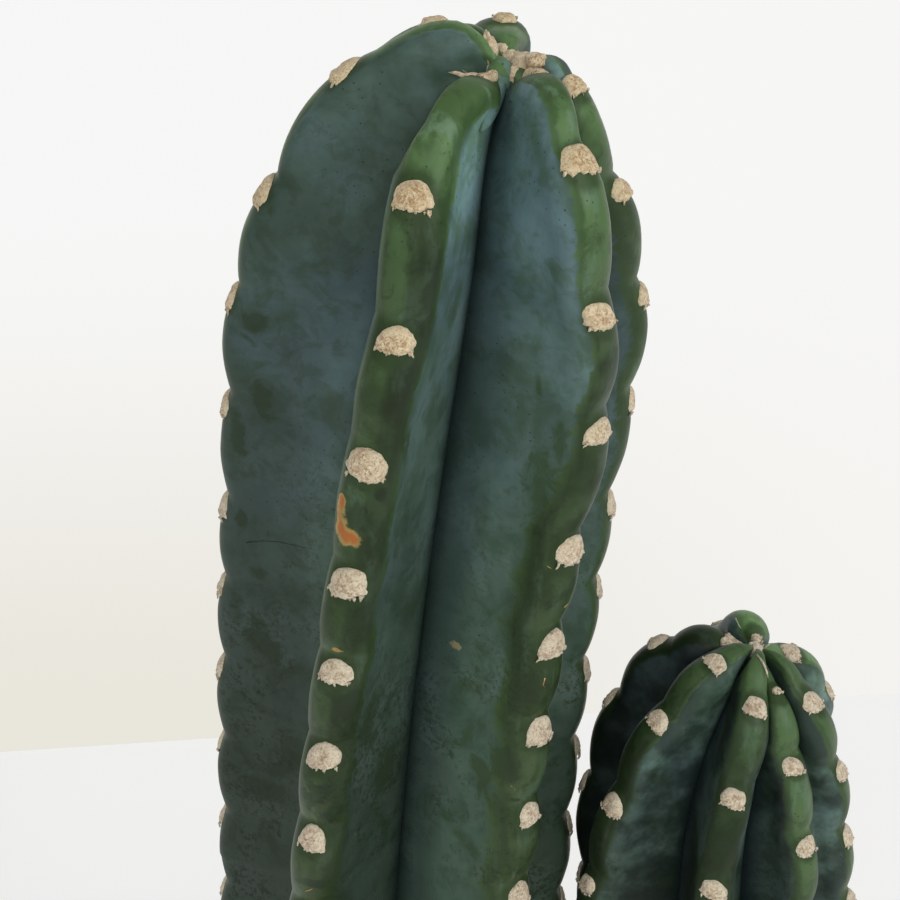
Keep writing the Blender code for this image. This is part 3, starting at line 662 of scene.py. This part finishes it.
def tip_wool(col, felt_lumps, strands):
    """Matted wool in the dimple at the tip, with loose tufts, lumps of felt and strands."""
    lumps = Lumps()
    rng = random.Random(col.seed + 7)
    segs, rings = 30, 12
    base = col.height - col.tip_dip
    verts, tone = [], []
    for j, f, t in disc(rings, segs):
        x, y = math.cos(t), math.sin(t)
        r = col.wool_r * 0.85 * f * (1 + 0.2 * noise.noise(Vector((x * 1.5, y * 1.5, col.seed))))
        lump = noise.noise(Vector((r * x * 0.35, r * y * 0.35, col.seed + 3)))
        lump += 0.6 * noise.noise(Vector((r * x * 0.9, r * y * 0.9, 9)))
        up = 1.6 * (1 - f ** 2.5) + 0.9 * lump * (1 - f ** 4) - 3.0 * (j == rings)
        verts.append(col.at(0.0, -r * y, r * x, base + up, 1.0))
        tone.append(max(0.0, 0.35 * lump))
    verts.append(col.at(0.0, 0.0, 0.0, base - 4, 1.0))
    lumps.add(verts, loft_faces(rings, segs), tone + [0.0])
    for _ in range(col.hairs):
        t, f = rng.uniform(0, math.tau), math.sqrt(rng.uniform(0.02, 0.8))
        x, y = col.wool_r * f * math.cos(t), col.wool_r * f * math.sin(t)
        length = rng.uniform(0.8, 2.0)
        out = rng.uniform(0.2, 1.0)
        pts = [col.at(0.0, -y * g, x * g, base + z, 1.0)
               for g, z in ((1.0, 0.6), (1 + 0.12 * out, 1.2 + 0.4 * length),
                            (1 + 0.3 * out, 1.4 + 0.75 * length))]
        strand(lumps, pts, rng.uniform(0.25, 0.45) * MM, rng.choice((0.0, 0.0, 0.15, 0.4)))
    for k, (centre, along, radii, shade) in enumerate(felt_lumps):
        verts, faces = ellipsoid(centre, along, radii, seed=40 + k, uneven=0.34)
        tone = [min(1.0, max(0.0, shade + 0.5 * noise.noise(v * 900))) for v in verts]
        lumps.add(verts, faces, tone)
    for points, thick in strands:
        strand(lumps, [Vector(p) * MM for p in points], thick * MM, 0.2)
    return lumps.object(col.name + "_tip_wool")


def ellipsoid(centre, along, radii, seed, uneven, segs=24, rings=14):
    """Rings of a closed, uneven ellipsoid, its first radius along the given axis, in mm."""
    w = Vector(along).normalized()
    u = w.orthogonal().normalized()
    v = w.cross(u)
    verts = [Vector(centre) * MM - w * radii[0] * MM]
    for j in range(1, rings):
        a = math.pi * j / rings
        for k in range(segs):
            t = math.tau * k / segs
            p = Vector((math.sin(a) * math.cos(t), math.sin(a) * math.sin(t), -math.cos(a)))
            size = 1 + uneven * (noise.noise(p * 1.6 + Vector((seed, 0, 0)))
                                 + 0.5 * noise.noise(p * 4.2 + Vector((0, seed, 0))))
            q = u * p.x * radii[1] + v * p.y * radii[2] + w * p.z * radii[0]
            verts.append((Vector(centre) + q * size) * MM)
    verts.append(Vector(centre) * MM + w * radii[0] * MM)
    return verts, loft_faces(rings - 1, segs)


def young_rib():
    """The rounded inner end of a young rib, between the tip's wool and its areole."""
    lumps = Lumps()
    for k, (centre, along, radii, tone) in enumerate(YOUNG_RIB):
        verts, faces = ellipsoid(centre, along, radii, seed=3 + k, uneven=0.05, segs=32, rings=20)
        lumps.add(verts, faces, [tone] * len(verts))
    return lumps.object("main_column_young_rib", green=1.1, pad=40, groove=0, side=0)


def scrapes(name, col, lines, thick, lift):
    """Thin marks that lie half sunk in the skin."""
    lumps = Lumps()
    for points in lines:
        strand(lumps, [col.on_skin(*p, lift) for p in points], thick * MM, 0.5)
    return lumps.object(name)


class Nodes:
    """Short helpers for building a material's node tree."""

    def __init__(self, name):
        self.mat = bpy.data.materials.new(name)
        self.mat.use_nodes = True
        self.tree = self.mat.node_tree
        self.bsdf = self.tree.nodes["Principled BSDF"]
        self.coords = self.tree.nodes.new("ShaderNodeTexCoord").outputs["Object"]

    def made(self, kind, inputs, output=0, **settings):
        """A node's output, once its settings and inputs are set, by name or by place."""
        node = self.tree.nodes.new("ShaderNode" + kind)
        for key, value in settings.items():
            setattr(node, key, value)
        for key, value in inputs.items():
            self.put(node.inputs[key], value)
        return node.outputs[output]

    def put(self, socket, value):
        if isinstance(value, bpy.types.NodeSocket):
            self.tree.links.new(value, socket)
        else:
            socket.default_value = value

    def attr(self, name):
        return self.made("Attribute", {}, "Fac", attribute_type="GEOMETRY", attribute_name=name)

    def axis(self, letter):
        return self.made("SeparateXYZ", {0: self.coords}, letter)

    def warp(self, scale):
        return self.made("Mapping", {"Vector": self.coords, "Scale": scale})

    def noise(self, scale, detail=3.0, rough=0.55, coords=None, distort=0.0):
        return self.made("TexNoise", {"Vector": coords or self.coords, "Scale": scale, "Detail": detail,
                                      "Roughness": rough, "Distortion": distort}, "Fac")

    def cells(self, scale):
        return self.made("TexVoronoi", {"Vector": self.coords, "Scale": scale}, "Distance")

    def math(self, operation, a, b):
        return self.made("Math", {0: a, 1: b}, operation=operation)

    def times(self, a, b):
        return self.math("MULTIPLY", a, b)

    def plus(self, a, b):
        return self.math("ADD", a, b)

    def span(self, value, low, high, to_low=0.0, to_high=1.0):
        """A smooth step of value from low to high."""
        return self.made("MapRange", {"Value": value, "From Min": low, "From Max": high, "To Min": to_low,
                                      "To Max": to_high}, "Result", interpolation_type="SMOOTHSTEP")

    def mix(self, share, a, b, kind="MIX"):
        a, b = ((*tint, 1.0) if isinstance(tint, tuple) else tint for tint in (a, b))
        return self.made("Mix", {"Factor": share, 6: a, 7: b}, 2, data_type="RGBA", blend_type=kind)

    def over(self, colour, *layers):
        """Tints laid over a colour, each up to its share where a value passes from low to high."""
        for value, low, high, share, tint in layers:
            colour = self.mix(self.span(value, low, high, 0.0, share), colour, tint)
        return colour

    def scaled(self, colour, value):
        grey = self.made("CombineXYZ", {0: value, 1: value, 2: value})
        return self.mix(1.0, colour, grey, "MULTIPLY")

    def blot(self, centre, long, wide):
        """How far a point is from a mark's centre, in the mark's own half sizes."""
        scale = (2 / wide, 2 / wide, 2 / long)
        place = self.made("Mapping", {"Vector": self.coords, "Scale": scale,
                                      "Location": [-c * s for c, s in zip(centre, scale)]})
        return self.made("VectorMath", {0: place}, "Value", operation="LENGTH")

    def done(self, colour, roughness, relief, strength, distance, **fixed):
        """The material, with a bump of the given relief."""
        normal = self.made("Bump", {"Height": relief, "Strength": strength, "Distance": distance})
        for key, value in {"Base_Color": colour, "Roughness": roughness, "Normal": normal, **fixed}.items():
            self.put(self.bsdf.inputs[key.replace("_", " ")], value)
        return self.mat


def skin_material(name, col, tip_z, foot_z, clouds, marks=()):
    """Waxy blue-green flanks, greener rubbed crests, dull marks and specks, and painted shade in the
    grooves and round the areoles.
    """
    n = Nodes(name)
    age = n.span(n.axis("Z"), tip_z, foot_z)
    green, pad, groove, side, tone = (n.attr(key) for key in ("green", "pad", "groove", "side", "tone"))
    broad = n.noise(13)
    cloud = n.noise(40, 4, 0.6)
    blotch = n.noise(68, 5, 0.64, distort=0.6)
    patch = n.noise(150, 5, 0.66, distort=0.6)
    fine = n.noise(430, 4, 0.65)
    streak = n.noise(140, 4, 0.6, n.warp((1.0, 1.0, 0.17)))

    def around(value, size):
        return n.times(n.math("SUBTRACT", value, 0.5), size)
    bloom = n.over(n.mix(age, (0.051, 0.085, 0.092), (0.046, 0.068, 0.046)),
                   (broad, 0.40, 0.64, 0.8, (0.044, 0.076, 0.054)),
                   (blotch, 0.45, 0.60, 0.7, (0.030, 0.054, 0.036)),
                   (cloud, 0.50, 0.70, 0.5, n.mix(age, (0.068, 0.105, 0.114), (0.058, 0.088, 0.074))),
                   (patch, 0.52, 0.64, 0.45, (0.028, 0.050, 0.032)),
                   (streak, 0.54, 0.78, 0.25, (0.076, 0.116, 0.108)))
    light = n.span(cloud, 0.42, 0.60, 1 - 0.6 * clouds, 1 + 0.6 * clouds)
    bloom = n.scaled(bloom, light)
    leaf = n.over(n.mix(age, (0.060, 0.112, 0.042), (0.050, 0.078, 0.033)),
                  (cloud, 0.44, 0.60, 0.8, (0.026, 0.052, 0.016)),
                  (streak, 0.53, 0.66, 0.65, (0.082, 0.138, 0.084)),
                  (patch, 0.52, 0.64, 0.45, (0.021, 0.038, 0.012)),
                  (n.plus(green, around(blotch, 1.6)), 0.45, 0.72, 0.72, (0.026, 0.050, 0.018)))
    reach = n.plus(green, n.plus(around(blotch, 1.1), around(patch, 0.9)))
    band = n.span(reach, 0.92, n.plus(n.times(age, 0.4), 1.06), 1.0, 0.0)
    colour = n.mix(band, bloom, leaf)
    rubbed = n.times(n.span(blotch, 0.58, 0.65), n.span(age, 0.2, 0.9, 0.2, 0.85))
    colour = n.mix(rubbed, colour, (0.024, 0.044, 0.022))
    dirt = n.times(n.span(n.noise(620, 4, 0.75), 0.46, 0.60),
                   n.span(n.plus(cloud, around(patch, 0.6)), 0.46, 0.60))
    colour = n.mix(n.times(dirt, n.span(age, 0.15, 0.9, 0.08, 0.8)), colour, (0.020, 0.027, 0.013))
    ragged = n.plus(around(blotch, 3.2), around(patch, 3.6))
    for places, blend, low, high, tint in marks:
        spots = [n.blot(col.on_skin(*p[:4]), p[4] * MM, p[5] * MM) for p in places]
        near = spots[0]
        for spot in spots[1:]:
            near = n.math("MINIMUM", near, spot)
        colour = n.mix(n.span(n.plus(near, ragged), low, high, blend, 0.0), colour, tint)
    # Each point's tone: partly the skin's own colour, partly painted light and shade.
    colour = n.scaled(colour, tone)
    # Painted shade on the flanks that face left, near the groove.
    painted_groove_shade = n.times(n.span(side, 0.0, -4.0), n.span(groove, 0.62, 0.82, 0.0, 0.56))
    colour = n.mix(painted_groove_shade, colour, (0.014, 0.024, 0.028))
    # Painted shade: the bottom of each groove is made darker.
    colour = n.over(colour, (groove, 0.80, 1.0, 0.8, (0.010, 0.019, 0.018)))
    # Painted shadow: a dark green ring round each areole, where the raised pad and the skin above it cast
    # shade.
    painted_pad_shadow = n.span(n.plus(pad, around(patch, 3.5)), 0.9 * col.pad[0], 1.38 * col.pad[0], 0.75, 0.0)
    colour = n.mix(painted_pad_shadow, colour, (0.022, 0.042, 0.013))
    for size, low, high, where, blend, tint in (
            (460, 0.07, 0.16, n.span(n.noise(30), 0.46, 0.58), 0.75, (0.012, 0.018, 0.010)),
            (210, 0.03, 0.06, n.span(n.noise(45, 2), 0.60, 0.68), 0.4, (0.20, 0.21, 0.12))):
        speck = n.times(n.span(n.cells(size), low, high, 1.0, 0.0), where)
        colour = n.mix(n.times(speck, blend), colour, tint)
    rough = n.math("SUBTRACT", n.span(cloud, 0.3, 0.7, 0.40, 0.52), n.times(band, 0.07))
    relief = n.plus(n.times(fine, 0.6), n.times(n.noise(1100, 2), 0.4))
    return n.done(colour, rough, relief, 0.22, 0.0005, Specular_IOR_Level=0.16)


def felt_material(name, fresh, old, tip_z, foot_z):
    """Matted cream felt, golden brown inside its rim, paler and greyer low on the stem."""
    n = Nodes(name)
    age = n.span(n.axis("Z"), tip_z, foot_z)
    matted = n.noise(1500, 5, 0.75, distort=0.5)
    mottle = n.noise(620, 4, 0.68, distort=0.8)
    brown = n.mix(age, (0.44, 0.25, 0.095), (0.42, 0.29, 0.18))
    inside = n.span(n.attr("tone"), 0.0, 0.75, 0.12, 0.95)
    colour = n.mix(n.times(inside, n.span(mottle, 0.38, 0.66)), n.mix(age, fresh, old), brown)
    colour = n.over(colour, (matted, 0.49, 0.60, 0.55, brown))
    burnt = n.times(inside, n.span(matted, 0.52, 0.64, 0.0, 0.8))
    colour = n.mix(burnt, colour, (0.24, 0.135, 0.060))
    colour = n.over(colour, (matted, 0.44, 0.34, 0.5, (0.86, 0.76, 0.58)))
    relief = n.plus(matted, n.times(n.noise(2400, 3, 0.7), 0.6))
    return n.done(colour, 0.92, relief, 0.8, 0.0008, Sheen_Weight=0.2, Sheen_Roughness=0.5)


def plain_material(name, a, b):
    n = Nodes(name)
    grain = n.noise(900)
    return n.done(n.over(a, (grain, 0.35, 0.65, 1.0, b)), 0.7, grain, 0.3, 0.0004)


def clay_material(name):
    """Fired clay with a little lime bloom."""
    n = Nodes(name)
    grain = n.noise(420, 6, 0.7)
    turned = n.noise(60, 3, 0.5, n.warp((0.25, 0.25, 6.0)))
    colour = n.over((0.47, 0.175, 0.082), (n.noise(9), 0.3, 0.7, 1.0, (0.36, 0.125, 0.060)),
                    (turned, 0.4, 0.7, 0.35, (0.55, 0.235, 0.125)))
    lime = n.times(n.span(n.noise(24, 6, 0.68), 0.56, 0.72), n.span(n.axis("Z"), 0.02, 0.13, 1.0, 0.25))
    colour = n.mix(n.times(lime, 0.55), colour, (0.62, 0.48, 0.38))
    speck = n.times(n.span(n.cells(700), 0.10, 0.2, 1.0, 0.0), n.span(n.noise(110, 2), 0.5, 0.6))
    colour = n.mix(n.times(speck, 0.5), colour, (0.16, 0.06, 0.035))
    relief = n.plus(n.times(grain, 0.6), turned)
    return n.done(colour, n.span(grain, 0.3, 0.7, 0.78, 0.9), relief, 0.5, 0.0008)


def soil_material(name, dark, light):
    n = Nodes(name)
    crumb = n.noise(240, 6, 0.7)
    colour = n.over(dark, (crumb, 0.35, 0.65, 1.0, light),
                    (n.noise(60), 0.5, 0.7, 0.5, (0.020, 0.014, 0.010)))
    return n.done(colour, 0.95, crumb, 1.0, 0.0025)


def circle(r, z, sides):
    """Points round the pot's axis."""
    turns = [math.tau * k / sides for k in range(sides)]
    return [Vector((r * math.cos(t), r * math.sin(t), z)) for t in turns]


def turned_object(name, profile, sides):
    """A closed (radius, height) outline turned round the pot's axis."""
    faces, m = [], len(profile)
    verts = [p for row in zip(*(circle(r, z, sides) for r, z in profile)) for p in row]
    for k in range(sides):
        a, b = k * m, ((k + 1) % sides) * m
        faces += [(a + j, b + j, b + (j + 1) % m, a + (j + 1) % m) for j in range(m)]
    return mesh_object(name, verts, faces)


def wall_r(z):
    return POT_FOOT_R + (POT_TOP_R - 4 * MM - POT_FOOT_R) * z / POT_H


def rounded(points, radius, steps=4):
    """The closed outline with each corner turned into a small arc."""
    out = []
    n = len(points)
    for k in range(n):
        p, a, b = (np.array(points[j % n], float) for j in (k, k - 1, k + 1))
        ua, ub = a - p, b - p
        la, lb = np.linalg.norm(ua), np.linalg.norm(ub)
        cut = min(radius, 0.42 * la, 0.42 * lb)
        s, e = p + ua / la * cut, p + ub / lb * cut
        for j in range(steps + 1):
            t = j / steps
            out.append(tuple((1 - t) ** 2 * s + 2 * t * (1 - t) * p + t * t * e))
    return out


def pot_piece():
    rim_z = POT_H - RIM_H
    corners = [
        (RIM_R, POT_H), (RIM_R - 2 * MM, rim_z), (wall_r(rim_z), rim_z - 1 * MM),
        (wall_r(0.09), 0.09), (POT_FOOT_R - 1 * MM, 0.0), (POT_FOOT_R - FOOT_RING, 0.0),
        (POT_FOOT_R - FOOT_RING - 2 * MM, FOOT_RECESS), (DRAIN_R, FOOT_RECESS), (DRAIN_R, POT_FLOOR),
        (wall_r(POT_FLOOR) - POT_WALL, POT_FLOOR), (wall_r(POT_H) - POT_WALL, POT_H),
    ]
    obj = turned_object("pot_body", rounded(corners, radius=2.2 * MM), sides=144)
    for v in obj.data.vertices:
        p = v.co.copy()
        r = math.hypot(p.x, p.y)
        if r > 0.03 and 0.004 < p.z < 0.2085 and r < RIM_R - 0.6 * MM:
            push = 0.35 * MM * noise.noise(Vector((p.x * 12, p.y * 12, p.z * 30)))
            v.co.x += p.x / r * push
            v.co.y += p.y / r * push
    return obj


def inside_stem(x, y, cols, margin):
    """True where a point on the soil's top lies in or close to a column."""
    for col in cols:
        dx, dy = x / MM - col.foot[0], y / MM - col.foot[1]
        r = math.hypot(dx, dy)
        ang = math.atan2(dx, -dy)
        best = min(abs((ang - float(col.rib_angle(i, 0.0)) + math.pi) % math.tau - math.pi)
                   for i in range(RIBS))
        in_rib = r * abs(math.sin(best)) < col.fin_half + 1.5 + margin and best < 1
        if r <= col.foot_r + 6 + margin and (r < STEM_CORE + margin or in_rib):
            return True
    return False


def soil_piece():
    rings, segs = 44, 160
    top_r = wall_r(SOIL_Z) - POT_WALL - 0.8 * MM
    verts = [(0, 0, SOIL_Z + 0.5 * MM)]
    for j in range(1, rings + 1):
        r = top_r * j / rings
        for p in circle(r, 0.0, segs):
            settle = -1.0 * ease((r - top_r + 8 * MM) / (8 * MM))
            lift = lumpy(p, (1.2, 45), (0.9, 160), (0.5, 420)) + settle
            verts.append((p.x, p.y, SOIL_Z + lift * MM))
    low = [(wall_r(z) - POT_WALL - SOIL_R_GAP, z) for z in (0.10, POT_FLOOR + 6 * MM)]
    low.append((wall_r(POT_FLOOR) - POT_WALL - 5 * SOIL_R_GAP, POT_FLOOR + 0.5 * MM))
    for r, z in low:
        verts += circle(r, z, segs)
    verts.append((0, 0, POT_FLOOR + 0.5 * MM))
    return mesh_object("soil_body", verts, loft_faces(rings + 3, segs))


def grains(name, cols, count, sizes, flat, seed):
    """Loose crumbs, bark or white grains half sunk in the soil's top."""
    rng = random.Random(seed)
    bm = bmesh.new()
    bmesh.ops.create_icosphere(bm, subdivisions=1, radius=1.0)
    base_v = [v.co.copy() for v in bm.verts]
    base_f = [tuple(v.index for v in f.verts) for f in bm.faces]
    bm.free()
    lumps = Lumps()
    limit = wall_r(SOIL_Z) - POT_WALL - 4 * MM
    for made in range(1, count + 1):
        r, t = limit * math.sqrt(rng.random()), rng.uniform(0, math.tau)
        x, y = r * math.cos(t), r * math.sin(t)
        size = rng.uniform(*sizes)
        if inside_stem(x, y, cols, size * 0.6):
            continue
        turn = Vector([rng.random() for _ in range(3)]).normalized()
        angle = rng.uniform(0, 6.3)
        squash = Vector((rng.uniform(0.7, 1.3), rng.uniform(0.6, 1.0), rng.uniform(*flat)))
        pts = []
        for v in base_v:
            p = v * squash
            p *= size * 0.5 * (1 + 0.3 * noise.noise(v * 1.7 + Vector((made, 0, 0))))
            c, s = math.cos(angle), math.sin(angle)
            p = Vector((p.x * c - p.y * s, p.x * s + p.y * c, p.z + p.x * 0.35 * (turn.x - 0.5)))
            pts.append(Vector((x, y, SOIL_Z + 0.35 * MM)) + p * MM)
        lumps.add(pts, base_f, [rng.random()] * len(pts))
    obj = lumps.object(name)
    obj.data.shade_flat()
    return obj


def grain_material(name, a, b):
    n = Nodes(name)
    rough = n.noise(900, 4, 0.7)
    colour = n.over(n.mix(n.attr("tone"), a, b), (rough, 0.4, 0.7, 0.45, tuple(0.45 * c for c in a)))
    return n.done(colour, 0.9, rough, 0.6, 0.0008)


main, side = Column(MAIN), Column(SIDE)
main_skin = skin_material("cactus_skin_main", main, tip_z=0.60, foot_z=0.33, clouds=0.2, marks=(
    (DARK_MARKS, 0.78, 0.35, 1.25, (0.020, 0.036, 0.014)),
    (SCARS, 0.85, 0.9, 1.35, (0.40, 0.28, 0.085)),
    (SCARS, 0.9, 0.35, 0.95, (0.40, 0.115, 0.022)),
    (TAN_SPOTS, 0.7, 0.7, 1.1, (0.25, 0.20, 0.10))))
side_skin = skin_material("cactus_skin_side", side, tip_z=0.50, foot_z=0.24, clouds=0.9)
felt = felt_material("areole_felt", (0.80, 0.66, 0.41), (0.76, 0.67, 0.50), tip_z=0.60, foot_z=0.45)
wool = felt_material("tip_wool", (0.86, 0.72, 0.50), (0.80, 0.70, 0.56), tip_z=0.60, foot_z=0.45)
pale_scrape = plain_material("pale_scrape", (0.50, 0.36, 0.14), (0.40, 0.20, 0.06))
light_scrape = plain_material("light_scrape", (0.52, 0.55, 0.36), (0.40, 0.44, 0.26))
dark_scratch = plain_material("dark_scratch", (0.010, 0.016, 0.012), (0.018, 0.026, 0.018))
pieces = [(young_rib(), main_skin, "main_column"),
          (scrapes("main_column_scratch", main, (SCRATCH,), 0.26, 0.0), dark_scratch, "main_column"),
          (scrapes("main_column_scrapes", main, SCRAPES, 0.34, 0.05), pale_scrape, "main_column"),
          (scrapes("side_column_scrapes", side, SIDE_SCRAPES, 0.45, 0.1), light_scrape, "side_column")]
for col, skin, lumps, strands in ((main, main_skin, TIP_FELT, TIP_STRANDS),
                                  (side, side_skin, (), SIDE_STRANDS)):
    pieces += [(column_skin(col), skin, col.name), (column_pads(col), felt, col.name),
               (tip_wool(col, lumps, strands), wool, col.name)]
for piece, look, node in pieces:
    finish_piece(piece, look, "cactus_skin", node)

finish_piece(pot_piece(), clay_material("fired_clay"), "pot_clay", "pot")
finish_piece(soil_piece(), soil_material("potting_soil", (0.030, 0.020, 0.014), (0.085, 0.058, 0.040)),
             "soil", "soil")
for name, count, sizes, flat, seed, a, b in (
        ("soil_crumbs", 1500, (1.6, 4.2), (0.5, 0.9), 31, (0.030, 0.020, 0.014), (0.12, 0.08, 0.05)),
        ("soil_bark", 260, (4.0, 9.0), (0.18, 0.35), 32, (0.11, 0.055, 0.030), (0.20, 0.11, 0.06)),
        ("soil_perlite", 170, (2.0, 4.5), (0.6, 0.9), 33, (0.72, 0.70, 0.66), (0.85, 0.83, 0.78))):
    finish_piece(grains(name, (main, side), count, sizes, flat, seed), grain_material(name, a, b), "soil")


def stage_piece(name, verts, material):
    obj = mesh_object(name, verts, [(0, 1, 2, 3)])
    obj.data.materials.append(material)


def table_material(name):
    """A white table top, lit a little from within so that it stays as pale as the wall."""
    n = Nodes(name)
    colour = n.mix(n.noise(2.5), (0.80, 0.80, 0.79), (0.84, 0.84, 0.84))
    return n.done(colour, 0.6, n.noise(900, 2), 0.1, 0.0002, Emission_Color=colour, Emission_Strength=0.31)


def wall_material(name):
    """A wall that glows, with painted shade that makes it a little warmer and darker low down and on the
    left.
    """
    n = Nodes(name)
    colour = n.over((0.815, 0.790, 0.715), (n.axis("Z"), -0.42, 0.14, 1.0, (0.925, 0.925, 0.920)),
                    (n.axis("X"), -0.2, 0.45, 0.8, (0.925, 0.920, 0.905)))
    n.put(n.tree.nodes["Material Output"].inputs["Surface"], n.made("Emission", {"Color": colour}))
    return n.mat


def add_light(name, at, size, power):
    """A soft window light that faces the cactus."""
    data = bpy.data.lights.new(name, "AREA")
    data.shape, data.energy = "RECTANGLE", power
    data.size, data.size_y = size
    obj = placed(name, data)
    obj.location = at
    obj.rotation_euler = (Vector(LIT_POINT) - Vector(at)).to_track_quat("-Z", "Y").to_euler()


stage_piece("table", [(-HALF_STAGE, -HALF_STAGE, 0), (HALF_STAGE, -HALF_STAGE, 0), (HALF_STAGE, 1.007, 0),
                      (-HALF_STAGE, 0.278, 0)], table_material("table_top"))
stage_piece("wall", [(x, WALL_Y, z) for x, z in ((-HALF_STAGE, -1.2), (HALF_STAGE, -1.2), (HALF_STAGE, 1.4),
                                                 (-HALF_STAGE, 1.4))], wall_material("pale_wall"))
scene.view_settings.view_transform = "Standard"
scene.world = bpy.data.worlds.new("soft_room")
scene.world.use_nodes = True
room = scene.world.node_tree.nodes["Background"].inputs
room["Color"].default_value = (0.93, 0.93, 0.925, 1.0)
room["Strength"].default_value = 0.5
add_light("right_window", (1.1, -1.0, 1.2), size=(1.0, 1.2), power=12)
add_light("front_window", (-0.25, -1.6, 1.25), size=(1.2, 1.2), power=9)

camera = bpy.data.cameras.new("camera")
camera.lens, camera.sensor_width = LENS_MM, SENSOR_MM
scene.camera = placed("camera", camera)
scene.camera.location = CAMERA_AT
scene.camera.rotation_euler = (math.radians(90 - CAMERA_DOWN_DEG), 0.0, 0.0)
